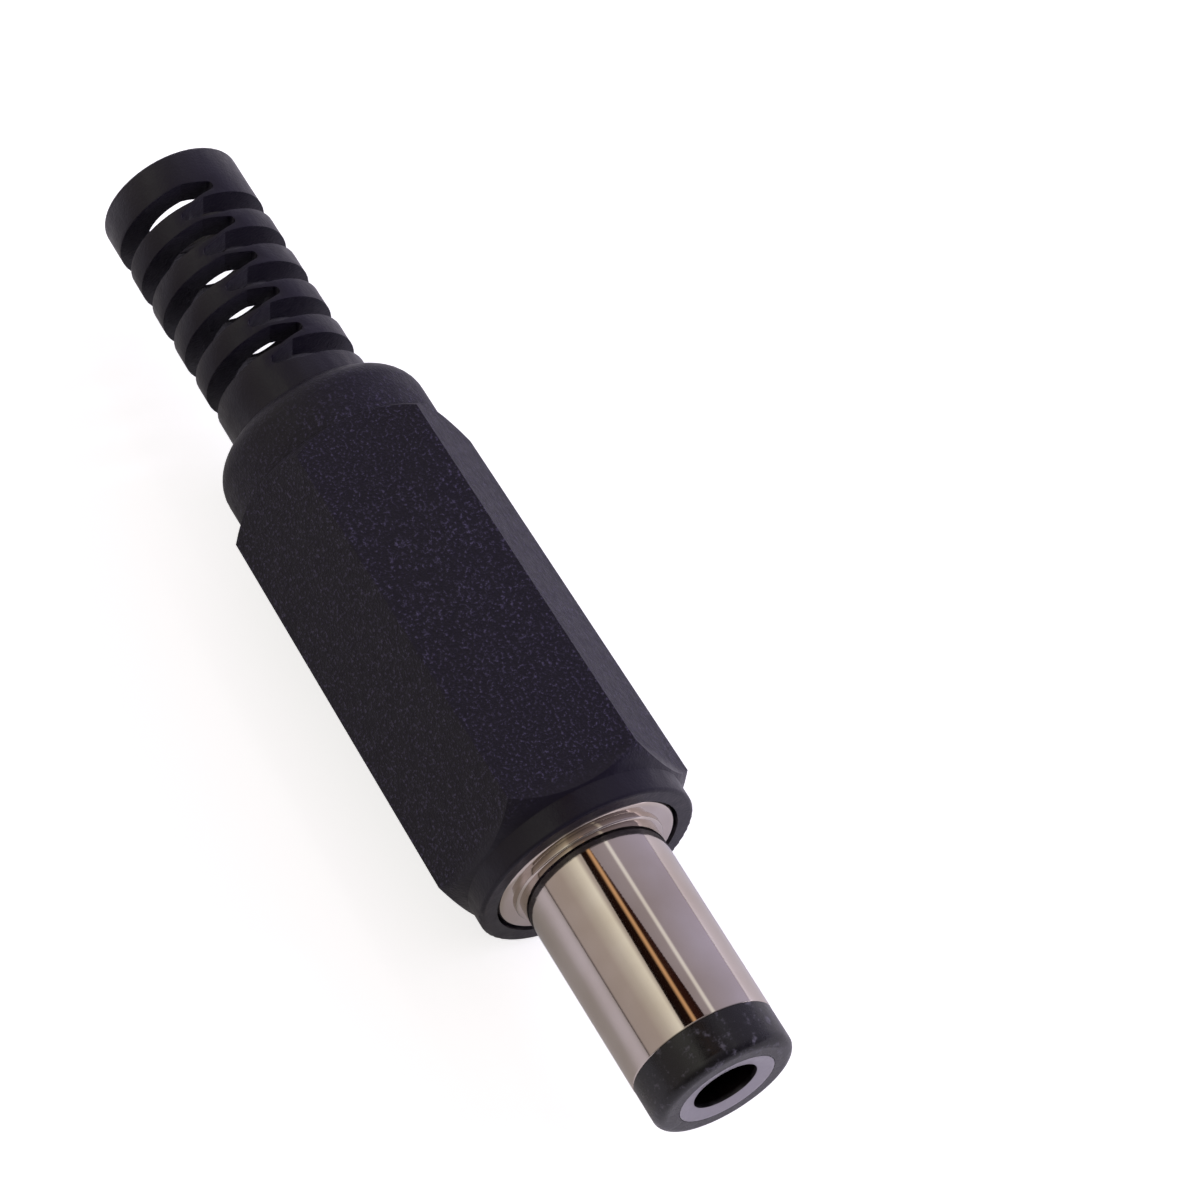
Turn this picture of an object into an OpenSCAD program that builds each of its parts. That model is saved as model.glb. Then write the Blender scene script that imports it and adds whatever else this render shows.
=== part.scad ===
// DC barrel plug, solder type, with a one-piece moulded cover and strain relief.
// Millimetres. The X axis is the plug's own axis and points to the tip. The origin
// lies on the axis, in the front face of the metal flange. The plug rests on the
// lower flat of its hexagon, so +Z is up.

/* [Barrel] */
// Outside diameter of the metal barrel
barrel_d = 5.5; // [4.5:0.1:6.5]
// Length from the flange face to the tip of the nose
barrel_len = 9.6; // [8:0.1:14]
// Length of the insulating nose in front of the metal
nose_len = 1.65; // [1:0.05:3]
// Radius of the rounding round the face of the nose
nose_round = 0.4; // [0.1:0.05:0.5]
// Wall of the metal barrel
barrel_wall = 0.5; // [0.4:0.05:0.6]

/* [Centre contact] */
// Diameter of the socket for the jack's pin
pin_bore_d = 2.5; // [1.7:0.1:2.6]
// Depth of the socket for the jack's pin
pin_bore_depth = 9; // [6:0.5:10]
// Wall of the contact tube
contact_wall = 0.36; // [0.25:0.01:0.45]
// Diameter of the ring that shows in the face of the nose
contact_ring_d = 3.74; // [3.5:0.02:4]
// Length of that ring
contact_ring_len = 0.7; // [0.4:0.1:1.2]
// Depth to which the face of the ring is dished
ring_dish = 0.12; // [0.05:0.01:0.2]
// Diameter of the solid stem behind the tube
stem_d = 1.6; // [1.2:0.1:1.6]

/* [Flange and thread] */
// Diameter of the flange
flange_d = 7.08; // [6.8:0.02:7.3]
// Thickness of the flange
flange_t = 1; // [0.6:0.1:1.6]
// Diameter of the low boss at the root of the barrel
boss_d = 5.9; // [5.7:0.1:6.4]
// Height of that boss
boss_h = 0.18; // [0.1:0.02:0.4]
// Outside diameter of the thread
thread_d = 6; // [5.6:0.1:6.2]
// Length of the thread
thread_len = 4.4; // [3:0.1:6]
// Depth of the runout groove between the flange and the thread
runout_depth = 0.45; // [0.2:0.05:0.5]
// Length of the runout groove
runout_len = 0.5; // [0.3:0.1:0.8]

/* [Terminals] */
// Thickness of the sheet that the terminals are stamped from
sheet_t = 0.4; // [0.3:0.05:0.4]
// Inside radius of their bends
bend_r = 0.1; // [0.05:0.01:0.12]
// Diameter of the round plate of the shell terminal
plate_d = 4.9; // [4.8:0.05:5.1]
// Diameter of the round plate of the centre terminal
centre_plate_d = 3.4; // [3.3:0.05:3.6]
// Width of the strip of each terminal
strip_w = 2; // [1.6:0.1:2.2]
// Length of the shell terminal behind the shell
shell_strip_len = 10.8; // [9:0.1:11.5]
// Length of the centre terminal behind its washer
centre_strip_len = 5.2; // [4:0.1:5.5]
// Diameter of the solder holes
solder_hole_d = 1; // [0.8:0.1:1.2]
// Length of the cord clamp at the end of the shell terminal
clamp_len = 2.4; // [2:0.1:3]
// Diameter of the cord clamp, inside
clamp_bore_d = 3.5; // [3.3:0.1:3.9]
// Length over which the strip steps in to the clamp
joggle_len = 0.8; // [0.6:0.1:1]
// Height of the clamp's ears above the plug's axis
clamp_ear_h = 0.6; // [0:0.1:1.4]
// Thickness of the insulating washer
washer_t = 0.6; // [0.4:0.1:0.8]
// Length of the washer's bush inside the shell
bush_len = 3; // [1:0.1:3.4]
// Wall of that bush
bush_wall = 0.5; // [0.3:0.05:0.5]

/* [Hexagon of the cover] */
// Distance across the flats, at the front face
across_flats = 8.72; // [8.6:0.02:9.4]
// Draft of the flats, in degrees
draft = 0.55; // [0:0.05:0.7]
// Wall of the round rim round the flange, in front of the hexagon
rim_wall = 0.65; // [0.5:0.01:0.67]
// Length of that rim
rim_len = 0.95; // [0.6:0.05:1.4]
// Length of the hexagon with its chamfers
hex_len = 17; // [16:0.1:20]
// Radius of the edge round the front face
rim_round = 0.15; // [0.05:0.01:0.25]
// Gap between the flange and the cover round it
flange_gap = 0.08; // [0.05:0.01:0.15]
// Gap between the thread of the shell and the cover
thread_gap = 0.05; // [0.03:0.01:0.09]

/* [Shoulder and boot] */
// Diameter of the round collar behind the hexagon
collar_d = 8.3; // [7.8:0.02:8.32]
// Length of the collar with its round shoulder
collar_len = 2.6; // [2:0.1:4]
// Radius of the round shoulder
shoulder_round = 1.15; // [0.4:0.05:1.2]
// Diameter of the boot at the shoulder
boot_neck_d = 5.7; // [5.4:0.05:5.8]
// Diameter of the boot at its rear end
boot_end_d = 5.56; // [5.2:0.02:5.6]
// Length of the boot
boot_len = 11.55; // [11.5:0.05:14]
// Radius of the edge at the boot's rear end
boot_end_round = 0.2; // [0.1:0.05:0.3]
// Diameter of the hole for the cord, in the end ring
cord_hole_d = 3.8; // [3:0.1:4]
// Length of that hole
cord_hole_len = 1.2; // [0.8:0.1:1.3]
// Diameter of the boot's bore in front of the hole
boot_bore_d = 3.4; // [3.2:0.1:3.6]
// Diameter of the hollow behind the thread
hollow_d = 5.7; // [5.6:0.05:5.9]

/* [Slots of the boot] */
// Slots cut from each side
slots_per_side = 5; // [3:1:5]
// Width of a slot
slot_w = 0.88; // [0.6:0.02:1]
// Distance between two slots of the same side
slot_pitch = 1.78; // [1.6:0.02:1.84]
// Distance that a slot reaches past the middle plane
slot_reach = 0.86; // [0.6:0.02:1.2]
// Radius of the round tip of a slot
slot_tip_r = 0.2; // [0.1:0.01:0.25]
// Length over which a slot narrows towards its tip
slot_taper_len = 1.1; // [0.8:0.1:1.6]
// Length of the plain ring behind the slots
end_ring_len = 1.48; // [1:0.02:1.6]

/* [Hidden] */
$fn = 96;

// Overlap that takes a cut clean through a surface
cut = 0.5;
// Gap between pieces that are pressed together
push_gap = 0.02;

// Fits inside the barrel
sleeve_bore_d = barrel_d - 2 * barrel_wall;
insulator_d = sleeve_bore_d - 2 * push_gap;
contact_d = pin_bore_d + 2 * contact_wall;
nose_step = 0.01;
nose_d = barrel_d - 2 * nose_step;

// Walls behind the socket for the pin
contact_floor_t = 0.8;
insulator_floor_t = 0.8;

// Fits round the stem of the centre contact
stem_hole_d = stem_d + 2 * push_gap;
bush_d = stem_hole_d + 2 * bush_wall;
rear_hole_d = bush_d + 2 * push_gap;

// Rims that hold the terminals: the shell's spigot and the stem's riveted head
strip_gap = 0.05;
spigot_lip_d = plate_d - 2 * (sheet_t + bend_r + strip_gap);
spigot_lip_t = 0.25;
spigot_d = spigot_lip_d - 0.4;
rivet_head_d = centre_plate_d - 2 * (sheet_t + bend_r + strip_gap);
rivet_head_t = 0.35;

// Stations along the axis, from the tip to the rear
metal_end_x = barrel_len - nose_len;
contact_rear_x = barrel_len - pin_bore_depth - contact_floor_t;
insulator_rear_x = contact_rear_x - insulator_floor_t;
thread_start_x = -flange_t - runout_len;
shell_rear_x = thread_start_x - thread_len;
spigot_lip_x = shell_rear_x - sheet_t;
spigot_rear_x = spigot_lip_x - spigot_lip_t;
washer_rear_x = spigot_rear_x - washer_t;
rivet_x = washer_rear_x - sheet_t;
stem_rear_x = rivet_x - rivet_head_t;

// Stations of the cover
hex_front_x = -rim_len;
hex_rear_x = hex_front_x - hex_len;
collar_rear_x = hex_rear_x - collar_len;
boot_end_x = collar_rear_x - boot_len;
mouth_d = flange_d + 2 * flange_gap;
rim_d = mouth_d + 2 * rim_wall;
cover_thread_d = thread_d + 2 * thread_gap;
cover_thread_rear_x = shell_rear_x - 0.6;
hollow_rear_x = collar_rear_x + (hollow_d - boot_bore_d) / 2;
cord_hole_x = boot_end_x + cord_hole_len;
corner_r = across_flats / sqrt(3);
neck_fillet = min(0.15, (collar_d - boot_neck_d) / 2 - shoulder_round);

// Angle of the narrowing sides of a slot, which run into its round tip
slot_tip_y = slot_reach - slot_tip_r;
slot_side = [slot_w / 2, slot_reach - slot_taper_len];
slot_lean = atan2(slot_side.x, slot_tip_y - slot_side.y)
    - asin(slot_tip_r / norm([slot_side.x, slot_tip_y - slot_side.y]));

// Turns a profile about the plug's axis. The profile has its radius along X
// and its station along Y.
module turned() {
    rotate([0, 90, 0])
        rotate_extrude()
            children();
}

// Stretch of a profile between two stations, from the axis out to radius r
module band(r, x1, x2) {
    translate([0, min(x1, x2)])
        square([r, abs(x2 - x1)]);
}

// Waste outside a rounded corner at radius r and station x, where side is 1
// for a corner that faces the tip and -1 for one that faces the rear
module corner_waste(round_r, r, x, side) {
    translate([r - round_r, x - side * round_r])
        difference() {
            translate([0, side > 0 ? 0 : -round_r - cut])
                square(round_r + cut);
            circle(round_r);
        }
}

// Six flats with draft, so that they lean in towards the rear
module drafted_flats() {
    intersection_for (i = [0:5])
        rotate([60 * i, 0, 0])
            translate([0, 0, across_flats / 2])
                rotate([0, -draft, 0])
                    translate([-2 * hex_len, -across_flats, -2 * across_flats])
                        cube([3 * hex_len, 2 * across_flats, 2 * across_flats]);
}

// Ball that chamfers one end of the hexagon at about 45 degrees, like a nut:
// it passes through radius end_r at the end x and through the corners behind it
module chamfer_ball(end_r, x, side) {
    translate([x - side * corner_r, 0, 0])
        rotate([0, 90, 0])
            sphere(norm([end_r, corner_r]));
}

// Room for the hexagon: a ball at each end, cut square, and what is between them
module hexagon_room() {
    intersection() {
        union() {
            chamfer_ball(rim_d / 2, hex_front_x, 1);
            chamfer_ball(collar_d / 2, hex_rear_x, -1);
            translate([hex_rear_x + corner_r, 0, 0])
                rotate([0, 90, 0])
                    cylinder(r = across_flats, h = hex_len - 2 * corner_r);
        }
        turned() band(2 * across_flats, hex_rear_x, hex_front_x);
    }
}

module rim_profile() {
    difference() {
        band(rim_d / 2, hex_front_x - rim_len, 0);
        corner_waste(rim_round, rim_d / 2, 0, 1);
    }
}

module shoulder_profile() {
    difference() {
        band(collar_d / 2, collar_rear_x, hex_rear_x + collar_len);
        corner_waste(shoulder_round, collar_d / 2, collar_rear_x, -1);
    }
}

module boot_profile() {
    difference() {
        polygon([
            [0, boot_end_x],
            [boot_end_d / 2, boot_end_x],
            [boot_neck_d / 2, collar_rear_x],
            [0, collar_rear_x]
        ]);
        corner_waste(boot_end_round, boot_end_d / 2, boot_end_x, -1);
    }
    // Fillet between the boot and the shoulder
    difference() {
        band(boot_neck_d / 2 + neck_fillet, collar_rear_x - neck_fillet, collar_rear_x);
        translate([boot_neck_d / 2 + neck_fillet, collar_rear_x - neck_fillet])
            circle(neck_fillet);
    }
}

// Mouth for the flange, thread, hollow for the terminals, bore and hole for the cord
module cover_bore_profile() {
    polygon([
        [0, cut],
        [mouth_d / 2, cut],
        [mouth_d / 2, -flange_t],
        [cover_thread_d / 2, -flange_t],
        [cover_thread_d / 2, cover_thread_rear_x],
        [hollow_d / 2, cover_thread_rear_x],
        [hollow_d / 2, hollow_rear_x],
        [boot_bore_d / 2, collar_rear_x],
        [boot_bore_d / 2, cord_hole_x + (cord_hole_d - boot_bore_d) / 2],
        [cord_hole_d / 2, cord_hole_x],
        [cord_hole_d / 2, boot_end_x - cut],
        [0, boot_end_x - cut]
    ]);
}

// Outline of a slot, with its tip past the middle plane and its mouth at -Y
module slot_outline() {
    tip_edge = slot_tip_r * [cos(slot_lean), sin(slot_lean)] + [0, slot_tip_y];
    translate([0, slot_tip_y])
        circle(slot_tip_r);
    polygon([
        tip_edge,
        slot_side,
        [slot_w / 2, -boot_neck_d],
        [-slot_w / 2, -boot_neck_d],
        [-slot_side.x, slot_side.y],
        [-tip_edge.x, tip_edge.y]
    ]);
}

// Slots from both sides in turn, so that the boot bends like a spring
module slots() {
    first_x = boot_end_x + end_ring_len + slot_w / 2;
    for (i = [0:slots_per_side - 1])
        for (side = [0, 1])
            translate([first_x + (i + side / 2) * slot_pitch, 0, 0])
                mirror([0, side, 0])
                    linear_extrude(height = 2 * boot_neck_d, center = true)
                        slot_outline();
}

// Cover and strain relief, moulded in one piece
module cover() {
    color("#26242b")
        difference() {
            union() {
                intersection() {
                    drafted_flats();
                    hexagon_room();
                }
                turned() rim_profile();
                turned() shoulder_profile();
                turned() boot_profile();
            }
            turned() cover_bore_profile();
            slots();
        }
}

module flange_profile() {
    flange_round = flange_t / 5;
    difference() {
        band(flange_d / 2, -flange_t, 0);
        corner_waste(flange_round, flange_d / 2, 0, 1);
    }
    difference() {
        band(boss_d / 2, -flange_t / 2, boss_h);
        corner_waste(boss_h / 2, boss_d / 2, boss_h, 1);
    }
}

// Thread, drawn plain, with a chamfer where it starts into the cover
module thread_profile() {
    thread_chamfer = runout_depth;
    band(thread_d / 2 - runout_depth, shell_rear_x, -flange_t);
    difference() {
        band(thread_d / 2, shell_rear_x, thread_start_x);
        polygon([
            [thread_d / 2 - thread_chamfer, shell_rear_x],
            [thread_d / 2 + cut, shell_rear_x - cut],
            [thread_d / 2 + cut, shell_rear_x + thread_chamfer + cut]
        ]);
    }
}

// Turned shell: barrel, flange, thread and the spigot spread over its terminal
module shell() {
    barrel_edge_r = 0.08;
    color("#b5afaa")
        turned()
            difference() {
                union() {
                    difference() {
                        band(barrel_d / 2, -flange_t / 2, metal_end_x);
                        corner_waste(barrel_edge_r, barrel_d / 2, metal_end_x, 1);
                    }
                    flange_profile();
                    thread_profile();
                    band(spigot_d / 2, spigot_rear_x, shell_rear_x);
                    band(spigot_lip_d / 2, spigot_rear_x, spigot_lip_x);
                }
                band(sleeve_bore_d / 2, insulator_rear_x, metal_end_x + cut);
                band(rear_hole_d / 2, spigot_rear_x - cut, insulator_rear_x + cut);
            }
}

// Insulator that lines the barrel and forms its nose
module nose_insulator() {
    ring_x = barrel_len - contact_ring_len;
    color("#17161a")
        turned()
            difference() {
                union() {
                    difference() {
                        band(nose_d / 2, metal_end_x, barrel_len);
                        corner_waste(nose_round, nose_d / 2, barrel_len, 1);
                    }
                    band(insulator_d / 2, insulator_rear_x, metal_end_x);
                }
                band(contact_ring_d / 2 + push_gap, ring_x, barrel_len + cut);
                band(contact_d / 2 + push_gap, contact_rear_x, barrel_len);
                band(stem_hole_d / 2, insulator_rear_x - cut, barrel_len);
            }
}

// Turned tube that takes the jack's pin, with its solid stem
module centre_contact() {
    bore_floor_x = barrel_len - pin_bore_depth;
    drill_point = pin_bore_d / 2 * tan(30) / 2;
    color("#cfccd2")
        turned()
            difference() {
                union() {
                    band(contact_ring_d / 2, barrel_len - contact_ring_len, barrel_len);
                    band(contact_d / 2, contact_rear_x, barrel_len - contact_ring_len);
                    band(stem_d / 2, rivet_x, contact_rear_x);
                    band(rivet_head_d / 2, stem_rear_x, rivet_x);
                }
                polygon([
                    [0, barrel_len],
                    [contact_ring_d / 2 - ring_dish, barrel_len],
                    [pin_bore_d / 2, barrel_len - ring_dish],
                    [pin_bore_d / 2, bore_floor_x],
                    [0, bore_floor_x - drill_point]
                ]);
            }
}

// Washer that keeps the centre terminal off the shell, with its bush
module rear_insulator() {
    color("#7a4a2a")
        turned()
            difference() {
                union() {
                    band(spigot_lip_d / 2, washer_rear_x, spigot_rear_x);
                    band(bush_d / 2, spigot_rear_x, spigot_rear_x + bush_len);
                }
                band(stem_hole_d / 2, washer_rear_x - cut, spigot_rear_x + bush_len + cut);
            }
}

// Stamped strip that leaves a round plate at its edge, bent to run rearwards.
// The plate's front face is at X = 0 and its edge is reach above the axis.
module bent_strip(reach, length) {
    bend_out = sheet_t + bend_r;
    rotate([90, 0, 0])
        linear_extrude(height = strip_w, center = true) {
            translate([-sheet_t, 0])
                square([sheet_t, reach - bend_out]);
            translate([-length, reach - sheet_t])
                square([length - bend_out, sheet_t]);
            translate([-bend_out, reach - bend_out])
                difference() {
                    intersection() {
                        circle(bend_out);
                        square(bend_out);
                    }
                    circle(bend_r);
                }
        }
}

// Round plate, trimmed beside the bend of its strip
module terminal_plate(d) {
    bend_out = sheet_t + bend_r;
    difference() {
        rotate([0, -90, 0])
            cylinder(d = d, h = sheet_t);
        translate([-sheet_t - cut, -strip_w / 2, d / 2 - bend_out])
            cube([sheet_t + 2 * cut, strip_w, bend_out + cut]);
    }
}

// Rear end of the ground lug, which steps in by the sheet's joggle to the clamp
module joggled_end(clamp_in_r) {
    clamp_out_r = clamp_in_r + sheet_t;
    front_x = -shell_strip_len + clamp_len + joggle_len;
    rotate([90, 0, 0])
        linear_extrude(height = strip_w, center = true)
            polygon([
                [front_x, plate_d / 2 - sheet_t],
                [front_x, plate_d / 2],
                [front_x - joggle_len, clamp_out_r],
                [-shell_strip_len, clamp_out_r],
                [-shell_strip_len, clamp_in_r],
                [front_x - joggle_len, clamp_in_r]
            ]);
}

// Ground lug: its plate is held by the spigot, and its end clamps the cord
module shell_terminal() {
    hole_x = -shell_strip_len / 2 - solder_hole_d;
    clamp_in_r = clamp_bore_d / 2;
    clamp_out_r = clamp_in_r + sheet_t;
    color("#c9c3b4")
        translate([shell_rear_x, 0, 0])
            mirror([0, 0, 1])
                difference() {
                    union() {
                        terminal_plate(plate_d);
                        bent_strip(plate_d / 2, shell_strip_len - clamp_len - joggle_len);
                        joggled_end(clamp_in_r);
                        translate([-shell_strip_len, 0, 0])
                            difference() {
                                rotate([0, 90, 0])
                                    cylinder(r = clamp_out_r, h = clamp_len);
                                translate([-cut, 0, 0])
                                    rotate([0, 90, 0])
                                        cylinder(r = clamp_in_r, h = clamp_len + 2 * cut);
                                translate([-cut, -plate_d, -plate_d - clamp_ear_h])
                                    cube([clamp_len + 2 * cut, 2 * plate_d, plate_d]);
                            }
                    }
                    rotate([0, -90, 0])
                        translate([0, 0, -cut])
                            cylinder(d = spigot_d + 2 * push_gap, h = sheet_t + 2 * cut);
                    translate([hole_x, 0, 0])
                        cylinder(d = solder_hole_d, h = plate_d);
                }
}

// Solder lug of the centre contact
module centre_terminal() {
    end_r = strip_w / 2;
    hole_x = -centre_strip_len + end_r;
    color("#c9c3b4")
        translate([washer_rear_x, 0, 0])
            difference() {
                union() {
                    terminal_plate(centre_plate_d);
                    bent_strip(centre_plate_d / 2, centre_strip_len - end_r);
                    translate([hole_x, 0, centre_plate_d / 2 - sheet_t])
                        cylinder(r = end_r, h = sheet_t);
                }
                rotate([0, -90, 0])
                    translate([0, 0, -cut])
                        cylinder(d = stem_hole_d, h = sheet_t + 2 * cut);
                translate([hole_x, 0, 0])
                    cylinder(d = solder_hole_d, h = centre_plate_d);
            }
}

cover();
shell();
nose_insulator();
centre_contact();
rear_insulator();
shell_terminal();
centre_terminal();
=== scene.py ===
"""Looks of a DC barrel plug: bare metal barrel, black nose, screw-on cover with a slotted boot.

Units are metres and the axes are the frame's: +X runs from the cord hole to the tip, the
origin is on the axis in the front face of the flange, and the plug rests on its lower flat.
"""
import math

import bmesh
import bpy
from mathutils import Matrix, Vector


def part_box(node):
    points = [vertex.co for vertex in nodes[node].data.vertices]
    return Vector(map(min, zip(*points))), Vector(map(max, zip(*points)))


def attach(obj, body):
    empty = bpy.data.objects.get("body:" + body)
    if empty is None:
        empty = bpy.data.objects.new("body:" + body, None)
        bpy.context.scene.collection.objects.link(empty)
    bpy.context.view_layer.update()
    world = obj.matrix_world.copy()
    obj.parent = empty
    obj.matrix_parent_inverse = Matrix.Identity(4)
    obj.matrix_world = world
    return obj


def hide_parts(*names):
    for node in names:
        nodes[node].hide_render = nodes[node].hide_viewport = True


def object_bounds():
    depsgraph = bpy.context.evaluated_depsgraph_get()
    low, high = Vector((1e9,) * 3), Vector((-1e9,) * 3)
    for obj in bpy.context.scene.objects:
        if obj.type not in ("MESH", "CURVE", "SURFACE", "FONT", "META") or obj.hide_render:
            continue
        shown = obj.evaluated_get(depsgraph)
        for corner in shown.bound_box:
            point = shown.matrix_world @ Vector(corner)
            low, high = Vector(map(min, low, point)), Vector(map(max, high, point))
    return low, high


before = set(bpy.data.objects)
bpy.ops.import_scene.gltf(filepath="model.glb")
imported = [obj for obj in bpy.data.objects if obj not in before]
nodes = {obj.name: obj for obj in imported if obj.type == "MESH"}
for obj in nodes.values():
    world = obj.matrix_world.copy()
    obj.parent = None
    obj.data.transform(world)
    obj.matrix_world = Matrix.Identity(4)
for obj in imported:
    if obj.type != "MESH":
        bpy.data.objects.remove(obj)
cad_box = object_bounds()
MM = 0.001


# ---------------------------------------------------------------- Camera
# A bench camera with a long lens, 165 mm from the plug and high on its tip side. Its axes
# are written out, because the camera is rolled to lay the plug across the frame's diagonal.
CAMERA_PLACE = Vector((59.80, -44.50, 142.28)) * MM
CAMERA_RIGHT = Vector((0.49386, 0.86700, 0.06650))
CAMERA_UP = Vector((-0.76364, 0.39586, 0.51005))
LENS_MM = 138.0
SENSOR_MM = 36.0
CLIP_NEAR, CLIP_FAR = 0.01, 10.0

camera_data = bpy.data.cameras.new("camera")
camera_data.sensor_width = SENSOR_MM
camera_data.lens = LENS_MM
camera_data.clip_start = CLIP_NEAR
camera_data.clip_end = CLIP_FAR
camera = bpy.data.objects.new("camera", camera_data)
bpy.context.scene.collection.objects.link(camera)
camera_axes = Matrix((CAMERA_RIGHT, CAMERA_UP, CAMERA_RIGHT.cross(CAMERA_UP))).transposed()
camera.matrix_world = Matrix.Translation(CAMERA_PLACE) @ camera_axes.to_4x4()
bpy.context.scene.camera = camera


# ---------------------------------------------------------------- Floor, light and room
# A white table in a white light tent. The tent's walls are soft light, and one glowing card beside the lens,
# shown only in mirrors,
# paints a reflection: the dark streak and a gold line along the top of the bare metal.
def linear(hex_colour):
    """An sRGB colour such as "#26242b" as linear RGBA."""
    parts = [int(hex_colour[i:i + 2], 16) / 255 for i in (1, 3, 5)]
    return [c / 12.92 if c <= 0.04045 else ((c + 0.055) / 1.055) ** 2.4 for c in parts] + [1.0]


def add(tree, kind, settings=None, **inputs):
    """Adds a node. Settings are its attributes. Inputs are values or links, with _0 for input 0."""
    made = tree.nodes.new("ShaderNode" + kind)
    for name, value in (settings or {}).items():
        setattr(made, name, value)
    for name, value in inputs.items():
        key = int(name[1:]) if name[1:].isdigit() else name.replace("_", " ")
        socket = made.inputs[key]
        if isinstance(value, bpy.types.NodeSocket):
            tree.links.new(value, socket)
        else:
            socket.default_value = value
    return made


def new_material(name):
    """An empty material and its node tree."""
    material = bpy.data.materials.new(name)
    material.use_nodes = True
    material.node_tree.nodes.clear()
    return material, material.node_tree


def new_object(name, mesh, material):
    """A mesh object in the scene, with one material."""
    made = bpy.data.objects.new(name, mesh)
    bpy.context.scene.collection.objects.link(made)
    mesh.materials.append(material)
    return made


FLOOR_Z = cad_box[0].z
FLOOR_HALF = 1.5
FLOOR_COLOUR = "#f4f4f6"

# The table looks white to the lens, a shade paler in mirrors, and still takes the plug's shadow
TABLE_LIFT = 0.66
MIRRORED_LIFT = 0.02
floor_paint, tree = new_material("white_table")
table = add(tree, "BsdfDiffuse", Color=linear(FLOOR_COLOUR))
path = add(tree, "LightPath")
mirrored = add(tree, "Math", {"operation": "MULTIPLY"}, _0=path.outputs["Is Glossy Ray"], _1=MIRRORED_LIFT)
through = add(tree, "Math", {"operation": "MULTIPLY_ADD"}, _0=path.outputs["Is Transmission Ray"],
              _1=TABLE_LIFT, _2=mirrored.outputs[0])
lift = add(tree, "Math", {"operation": "MULTIPLY_ADD"}, _0=path.outputs["Is Camera Ray"],
           _1=TABLE_LIFT, _2=through.outputs[0])
glow = add(tree, "Emission", Color=(1, 1, 1, 1), Strength=lift.outputs[0])
whole = add(tree, "AddShader", _0=table.outputs[0], _1=glow.outputs[0])
add(tree, "OutputMaterial", Surface=whole.outputs[0])
floor_mesh = bpy.data.meshes.new("floor")
floor_mesh.from_pydata(
    [(-FLOOR_HALF, -FLOOR_HALF, FLOOR_Z), (FLOOR_HALF, -FLOOR_HALF, FLOOR_Z),
     (FLOOR_HALF, FLOOR_HALF, FLOOR_Z), (-FLOOR_HALF, FLOOR_HALF, FLOOR_Z)], [], [(0, 1, 2, 3)])
floor = new_object("floor", floor_mesh, floor_paint)


def ramp(tree, factor, stops):
    """A colour ramp through (position, hex colour) stops."""
    made = add(tree, "ValToRGB", Fac=factor)
    marks = made.color_ramp.elements
    while len(marks) < len(stops):
        marks.new(1.0)
    for mark, (position, colour) in zip(marks, stops):
        mark.position = position
        mark.color = linear(colour)
    return made.outputs["Color"]


# Cloth of the tent from the left table edge over the top to the right one, in degrees from
# straight up towards +Y: its dark hem at -90, a warm lamp behind it at -27, a bare slit at 24.
TENT_WALLS = [(-91, "#564e50"), (-89, "#564e50"), (-87, "#b0a6a4"), (-60, "#b6aca8"), (-44, "#d2cdc4"),
              (-27, "#fffdf0"), (-21, "#c2bab4"), (2, "#a29aa2"), (20, "#aca4ac"), (23, "#ffffff"),
              (25, "#ffffff"), (28, "#aca4b0"), (60, "#b6b0c4"), (88, "#beb8d0")]
world = bpy.data.worlds.new("light_tent")
world.use_nodes = True
bpy.context.scene.world = world
tree = world.node_tree
tree.nodes.clear()
toward = add(tree, "SeparateXYZ", Vector=add(tree, "TexCoord").outputs["Generated"])
lean = add(tree, "Math", {"operation": "ARCTAN2"}, _0=toward.outputs["Y"], _1=toward.outputs["Z"])
turn = add(tree, "MapRange", Value=lean.outputs[0], From_Min=-math.pi, From_Max=math.pi)
cloth = ramp(tree, turn.outputs["Result"], [(0.5 + angle / 360, colour) for angle, colour in TENT_WALLS])
# The tent is open in front of the tip, so it grows darker as a direction leans towards +X
OPENING_FROM, OPENING_TO = 0.1, 0.7
CLOTH_STRENGTH, OPENING_STRENGTH = 1.05, 0.3
ahead = add(tree, "MapRange", Value=toward.outputs["X"], From_Min=OPENING_FROM, From_Max=OPENING_TO,
            To_Min=CLOTH_STRENGTH, To_Max=OPENING_STRENGTH)
tent = add(tree, "Background", Color=cloth, Strength=ahead.outputs["Result"])
bare_white = add(tree, "Background", Color=(1, 1, 1, 1), Strength=1.0)
path = add(tree, "LightPath")
seen = add(tree, "MixShader", _0=path.outputs["Is Camera Ray"], _1=tent.outputs[0], _2=bare_white.outputs[0])
add(tree, "OutputWorld", Surface=seen.outputs[0])

# Glowing card over the plug, wider towards the tip, that only mirrors show: a painted reflection, dark brown
# with a bright gold line along it. Each end is a station and the leans of its two corners, in millimetres
# and degrees.
CARD_HEIGHT = 60.0
CARD_ENDS = [(-29.0, -15.0, -7.0), (5.0, -25.0, 16.0)]
card_corners = [
    (x * MM, CARD_HEIGHT * math.sin(math.radians(a)) * MM, CARD_HEIGHT * math.cos(math.radians(a)) * MM)
    for x, *leans in CARD_ENDS for a in leans]
card_mesh = bpy.data.meshes.new("painted_reflection_card")
card_mesh.from_pydata(card_corners, [], [(0, 1, 3, 2)])
reflection_card_paint, tree = new_material("painted_reflection_card")
along = add(tree, "SeparateXYZ", Vector=add(tree, "TexCoord").outputs["Generated"])
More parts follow.
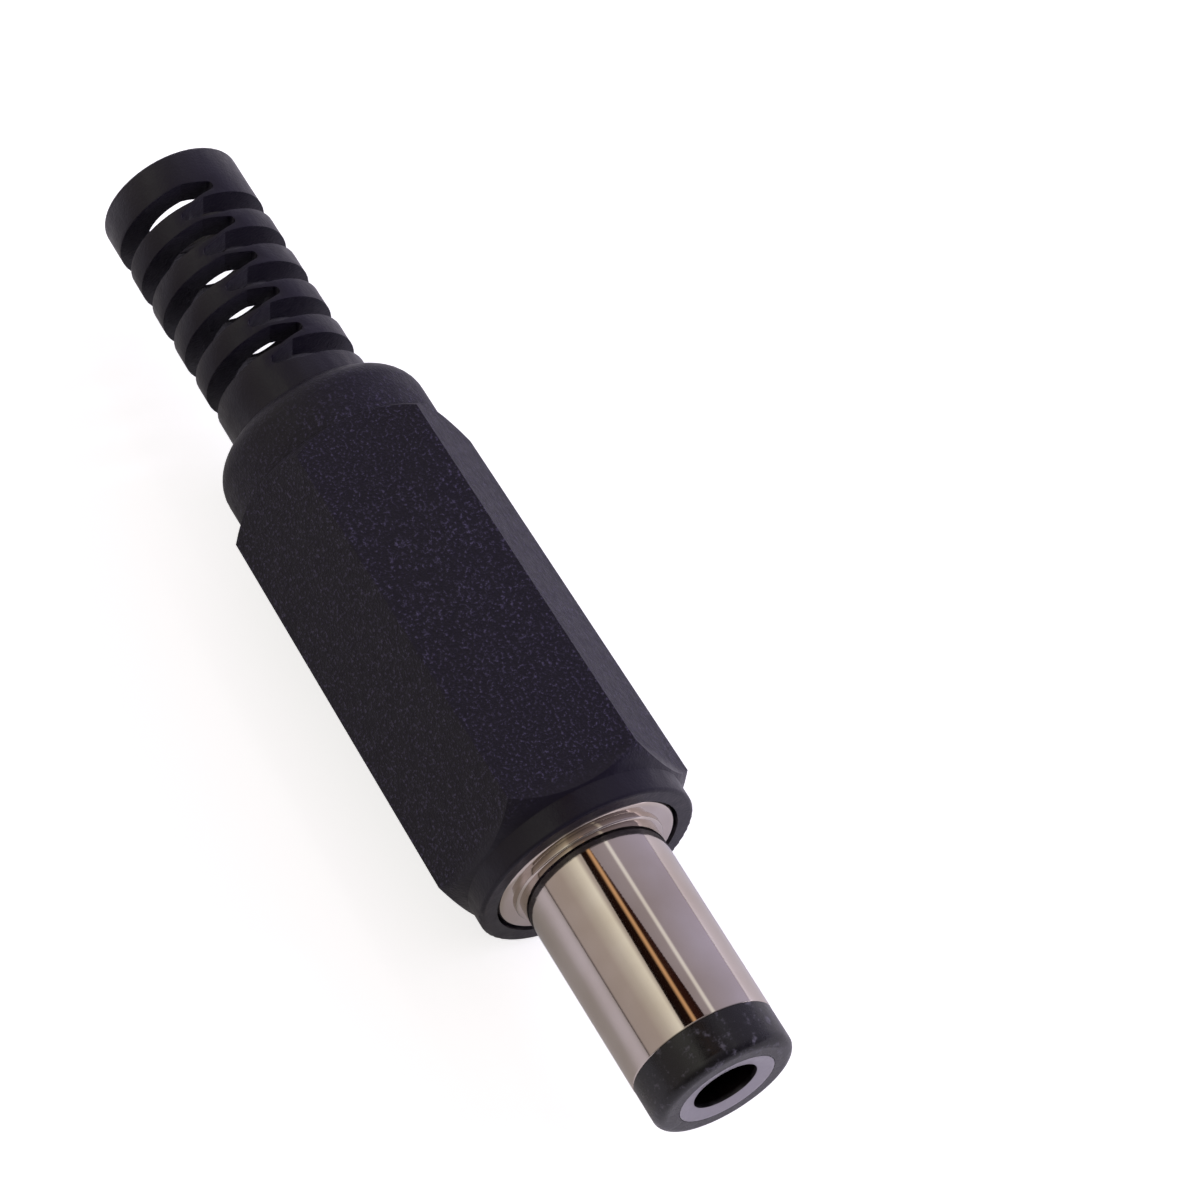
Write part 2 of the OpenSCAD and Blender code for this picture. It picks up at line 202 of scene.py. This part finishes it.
# Painted reflection: a dark brown sheet with a bright gold line, seen only in the metal's mirror image
sheen = ramp(tree, along.outputs["Y"], [(0.0, "#120a0a"), (0.38, "#22120e"), (0.46, "#e8b888"),
                                       (0.50, "#e8b888"), (0.56, "#3a201a"), (1.0, "#160c0c")])
reflection_glow = add(tree, "Emission", Color=sheen, Strength=1.0)
add(tree, "OutputMaterial", Surface=reflection_glow.outputs[0])
card = new_object("painted_reflection_card", card_mesh, reflection_card_paint)
card.visible_camera = False
card.visible_diffuse = False
card.visible_shadow = False

bpy.context.scene.view_settings.view_transform = "Standard"

# A soft lamp behind the tent's cloth on the right, which mirrors don't show
LAMP_PLACE = Vector((110, 250, 120)) * MM
LAMP_AIM = Vector((-8, 20, 0)) * MM
LAMP_SIZE = 140 * MM
LAMP_POWER = 0.8
LAMP_COLOUR = "#ece6ff"
lamp = bpy.data.lights.new("softbox_right", "AREA")
lamp.shape = "RECTANGLE"
lamp.size = LAMP_SIZE
lamp.size_y = LAMP_SIZE
lamp.energy = LAMP_POWER
lamp.color = linear(LAMP_COLOUR)[:3]
softbox = bpy.data.objects.new("softbox_right", lamp)
bpy.context.scene.collection.objects.link(softbox)
softbox.location = LAMP_PLACE
softbox.rotation_mode = "QUATERNION"
softbox.rotation_quaternion = (LAMP_AIM - LAMP_PLACE).to_track_quat("-Z", "Y")
softbox.visible_glossy = False


# ---------------------------------------------------------------- Shell
# The shell is turned from brass bar with its barrel, flange and thread in one, then
# nickel-plated. The plate is bright and slightly warm, with fine turning lines round the axis.
def axis_frame(tree):
    """Position, and station along the axis, as sockets, in metres."""
    place = add(tree, "TexCoord").outputs["Object"]
    parts = add(tree, "SeparateXYZ", Vector=place)
    return place, parts.outputs["X"]


def span(tree, value, low, high, to_low=0.0, to_high=1.0):
    """Maps a value from low..high to to_low..to_high, clamped."""
    return add(tree, "MapRange", {"clamp": True}, Value=value, From_Min=low, From_Max=high,
               To_Min=to_low, To_Max=to_high).outputs["Result"]


def bright_nickel():
    """Nickel plate on turned brass: a clear warm mirror, with turning lines 0.1 mm apart."""
    material, tree = new_material("bright_nickel_plate")
    place, station = axis_frame(tree)
    tool_lines = add(tree, "TexNoise", {"noise_dimensions": "1D"}, W=station,
                     Scale=1 / (0.1 * MM), Detail=2.0)
    blooms = add(tree, "TexNoise", Vector=place, Scale=1 / (2.5 * MM), Detail=3.0)
    tone = ramp(tree, blooms.outputs["Fac"], [(0.3, "#c4b8ac"), (0.7, "#d2c8c0")])
    dull = span(tree, blooms.outputs["Fac"], 0.35, 0.75, 0.05, 0.09)
    relief = add(tree, "Bump", Strength=0.05, Distance=0.01 * MM, Height=tool_lines.outputs["Fac"])
    plate = add(tree, "BsdfPrincipled", Base_Color=tone, Metallic=1.0, Roughness=dull,
                Normal=relief.outputs[0])
    add(tree, "OutputMaterial", Surface=plate.outputs[0])
    return material


# Sizes of the shell in millimetres: each front or rear is a station on the axis
SHELL_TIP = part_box("shell")[1].x / MM
BARREL_R, BARREL_BORE_R, FLANGE_R = 2.75, 2.25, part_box("shell")[1].z / MM
THREAD_FRONT, THREAD_REAR, SHELL_REAR = -1.5, -5.9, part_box("shell")[0].x / MM
THREAD_R, THREAD_DEPTH, THREAD_PITCH = 3.0, 0.4, 0.75
THREAD_STEP = 0.0625
BOSS_FRONT, BOSS_R = 0.18, 2.95
FLANGE_REAR, RUNOUT_R = -1.0, 2.55
SPIGOT_R, RIVET_FRONT, RIVET_R = 1.7, -6.3, 1.9
STEM_HOLE_R = 1.34
TURN_STEPS = 96
SHARP_ANGLE = 35
# How fast the ridge rises with the phase, and where its flank starts
FLANK_SLOPE, FLANK_START = 2.2, 0.5


def rounded(x, r, size, forward):
    """Points of a convex corner of radius size at station x and radius r, from tip to rear."""
    angles = [math.radians(15 * i) for i in range(7)]
    if forward:
        return [(x - size + size * math.cos(a), r - size + size * math.sin(a)) for a in angles]
    return [(x + size - size * math.sin(a), r - size + size * math.cos(a)) for a in angles]


def thread_radius(x, turn):
    """Radius of the thread at a station and a share of a turn: a flat-topped, sloping ridge."""
    phase = (x / THREAD_PITCH + turn) % 1.0
    ridge = min(1.0, max(0.0, FLANK_SLOPE * abs(2 * phase - 1) - FLANK_START))
    run_in = min(x - THREAD_REAR, (THREAD_FRONT - x) * 2)
    return min(THREAD_R - THREAD_DEPTH * (1 - ridge), THREAD_R - THREAD_DEPTH + max(run_in, 0.0))


thread_steps = int((THREAD_FRONT - THREAD_REAR) / THREAD_STEP) + 1
threads = [THREAD_FRONT - THREAD_STEP * i for i in range(thread_steps)]
# From the tip back along the outside and forward through the bore, as (station, radius) in
# millimetres, with no radius where the thread's own function gives it
outline = (
    rounded(SHELL_TIP, BARREL_R, 0.08, True) + [(BOSS_FRONT, BARREL_R)]
    + rounded(BOSS_FRONT, BOSS_R, 0.09, True) + [(0.0, BOSS_R)]
    + rounded(0.0, FLANGE_R, 0.2, True) + rounded(FLANGE_REAR, FLANGE_R, 0.05, False)
    + [(FLANGE_REAR, RUNOUT_R), (THREAD_FRONT, RUNOUT_R)] + [(x, None) for x in threads]
    + [(THREAD_REAR, SPIGOT_R), (RIVET_FRONT, SPIGOT_R), (RIVET_FRONT, RIVET_R), (SHELL_REAR, RIVET_R),
       (SHELL_REAR, STEM_HOLE_R), (FLANGE_REAR, STEM_HOLE_R),
       (FLANGE_REAR, BARREL_BORE_R), (SHELL_TIP, BARREL_BORE_R)])
turned_shell = bmesh.new()
rings = []
for x, r in outline:
    ring = []
    for step in range(TURN_STEPS):
        turn = step / TURN_STEPS
        radius = thread_radius(x, turn) if r is None else r
        place = Vector((x, radius * math.cos(math.tau * turn), radius * math.sin(math.tau * turn)))
        ring.append(turned_shell.verts.new(place * MM))
    rings.append(ring)
for ring, after in zip(rings, rings[1:] + rings[:1]):
    for step in range(TURN_STEPS):
        ahead = (step + 1) % TURN_STEPS
        turned_shell.faces.new((ring[step], ring[ahead], after[ahead], after[step]))
bmesh.ops.recalc_face_normals(turned_shell, faces=turned_shell.faces)
shell_mesh = bpy.data.meshes.new("turned_shell")
turned_shell.to_mesh(shell_mesh)
turned_shell.free()
shell_mesh.shade_smooth()
shell_mesh.set_sharp_from_angle(angle=math.radians(SHARP_ANGLE))
shell_piece = new_object("turned_shell", shell_mesh, bright_nickel())
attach(shell_piece, "plug")
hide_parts("shell")


# ---------------------------------------------------------------- Nose and its insulator
# One piece of black acetal, turned, pressed into the barrel. It is satin, with light scuffs
# across its outside from going in and out of jacks.
def turned_acetal():
    """Black acetal: satin, with pale scuffs about 0.35 mm apart."""
    material, tree = new_material("turned_black_acetal")
    place = add(tree, "TexCoord").outputs["Object"]
    scuffs = add(tree, "TexNoise", Vector=place, Scale=1 / (0.35 * MM), Detail=5.0, Roughness=0.7)
    worn = span(tree, scuffs.outputs["Fac"], 0.56, 0.70)
    tone = ramp(tree, worn, [(0.0, "#100e12"), (1.0, "#55525c")])
    dull = span(tree, scuffs.outputs["Fac"], 0.35, 0.7, 0.22, 0.42)
    relief = add(tree, "Bump", Strength=0.35, Distance=0.02 * MM, Height=scuffs.outputs["Fac"])
    plastic = add(tree, "BsdfPrincipled", Base_Color=tone, Roughness=dull, IOR=1.48,
                  Normal=relief.outputs[0])
    add(tree, "OutputMaterial", Surface=plastic.outputs[0])
    return material


def give(node, material):
    """Puts a material on a CAD node, in all its slots."""
    slots = nodes[node].data.materials
    slots.clear()
    slots.append(material)


give("nose_insulator", turned_acetal())


# ---------------------------------------------------------------- Centre contact
# A brass tube, turned and nickel-plated, that takes the jack's pin. Its dished end shows as
# a pale ring, and shade down its bore is painted into the plate's colour, which darkens from 9.5 mm back to
# 8.8 mm.
def satin_nickel_with_painted_bore_shade():
    """Nickel plate on the contact: paler and duller than the barrel, with painted shade darkening it down
    the bore.
    """
    material, tree = new_material("satin_nickel_plate_painted_bore_shade")
    place, station = axis_frame(tree)
    # Painted shade: the plate's colour goes dark behind 9.5 mm on the axis, down the bore
    depth = span(tree, station, 8.8 * MM, 9.5 * MM)
    tone = ramp(tree, depth, [(0.0, "#1c1416"), (0.7, "#3a2e30"), (1.0, "#aaa6ad")])
    grain = add(tree, "TexNoise", Vector=place, Scale=1 / (0.3 * MM), Detail=3.0)
    dull = span(tree, grain.outputs["Fac"], 0.3, 0.7, 0.28, 0.42)
    relief = add(tree, "Bump", Strength=0.1, Distance=0.01 * MM, Height=grain.outputs["Fac"])
    plate = add(tree, "BsdfPrincipled", Base_Color=tone, Metallic=1.0, Roughness=dull,
                Normal=relief.outputs[0])
    add(tree, "OutputMaterial", Surface=plate.outputs[0])
    return material


give("centre_contact", satin_nickel_with_painted_bore_shade())


# ---------------------------------------------------------------- Washer
# Brown phenolic board, turned, with a bush that goes into the shell. It is clamped behind the
# shell's spigot and keeps the centre terminal off the shell.
def phenolic_paper():
    """Brown phenolic board: a dull resin with clumps of fibre 0.3 mm apart."""
    material, tree = new_material("phenolic_paper")
    place = add(tree, "TexCoord").outputs["Object"]
    fibres = add(tree, "TexNoise", Vector=place, Scale=1 / (0.3 * MM), Detail=6.0)
    tone = ramp(tree, fibres.outputs["Fac"], [(0.35, "#5e3520"), (0.65, "#8a5632")])
    board = add(tree, "BsdfPrincipled", Base_Color=tone, Roughness=0.55, IOR=1.55)
    add(tree, "OutputMaterial", Surface=board.outputs[0])
    return material


give("rear_insulator", phenolic_paper())


# ---------------------------------------------------------------- Terminals
# Two lugs stamped from 0.4 mm brass strip, bent and tin-plated: dull silver with soft stains.
# The long one is the ground lug, held by the shell's spigot. The short one is riveted over the
# centre contact's stem.
def tinned_brass():
    """Tin plate on brass strip: dull, with cloudy stains about 1 mm across."""
    material, tree = new_material("tinned_brass_strip")
    place = add(tree, "TexCoord").outputs["Object"]
    clouds = add(tree, "TexNoise", Vector=place, Scale=1 / (1.2 * MM), Detail=4.0)
    tone = ramp(tree, clouds.outputs["Fac"], [(0.3, "#a59f94"), (0.7, "#c9c4ba")])
    dull = span(tree, clouds.outputs["Fac"], 0.3, 0.7, 0.3, 0.45)
    strip = add(tree, "BsdfPrincipled", Base_Color=tone, Metallic=1.0, Roughness=dull)
    add(tree, "OutputMaterial", Surface=strip.outputs[0])
    return material


tin = tinned_brass()
give("shell_terminal", tin)
give("centre_terminal", tin)


# ---------------------------------------------------------------- Cover
# Cover and strain relief are one moulding of black PVC. The mould is spark-eroded on the six
# flats, which are matt with fine specks, and polished on the rim, collar and boot.
# The grain fades in over the first pair of stations and out over the second
GRAIN_FRONT = (-1.1, -1.7)
GRAIN_REAR = (-20.8, -18.0)


def eroded_pvc():
    """Black PVC: spark-eroded grain 0.12 mm across on the flats, smoother on rim, collar, boot."""
    material, tree = new_material("spark_eroded_black_pvc")
    place, station = axis_frame(tree)
    grain = add(tree, "TexNoise", Vector=place, Scale=1 / (0.12 * MM), Detail=2.0, Roughness=0.7)
    grit = add(tree, "TexNoise", Vector=place, Scale=1 / (0.4 * MM), Detail=2.0)
    behind_rim = span(tree, station, GRAIN_FRONT[0] * MM, GRAIN_FRONT[1] * MM)
    before_boot = span(tree, station, GRAIN_REAR[0] * MM, GRAIN_REAR[1] * MM)
    grained = add(tree, "Math", {"operation": "MULTIPLY"}, _0=behind_rim, _1=before_boot)
    on_hexagon = grained.outputs[0]
    specks = span(tree, grain.outputs["Fac"], 0.54, 0.74)
    tone_specks = add(tree, "Math", {"operation": "MULTIPLY"}, _0=specks, _1=on_hexagon)
    tone = ramp(tree, tone_specks.outputs[0], [(0.0, "#15111e"), (1.0, "#4c4660")])
    smooth = span(tree, on_hexagon, 0.0, 1.0, 0.36, 0.58)
    uneven = span(tree, grit.outputs["Fac"], 0.3, 0.7, -0.05, 0.05)
    dull = add(tree, "Math", {"operation": "ADD"}, _0=smooth, _1=uneven)
    depth = span(tree, on_hexagon, 0.0, 1.0, 0.25, 1.0)
    relief = add(tree, "Bump", Strength=depth, Distance=0.06 * MM, Height=grain.outputs["Fac"])
    plastic = add(tree, "BsdfPrincipled", Base_Color=tone, Roughness=dull.outputs[0], IOR=1.5,
                  Specular_IOR_Level=0.32, Normal=relief.outputs[0])
    add(tree, "OutputMaterial", Surface=plastic.outputs[0])
    return material


give("cover", eroded_pvc())
# The mould leaves every outside corner with a small round
WELD_GAP = 0.0005
EDGE_ROUND = 0.06
EDGE_ANGLE = 38
weld = nodes["cover"].modifiers.new("weld", "WELD")
weld.merge_threshold = WELD_GAP * MM
edges = nodes["cover"].modifiers.new("moulded_edges", "BEVEL")
edges.width = EDGE_ROUND * MM
edges.segments = 2
edges.limit_method = "ANGLE"
edges.angle_limit = math.radians(EDGE_ANGLE)
edges.harden_normals = True
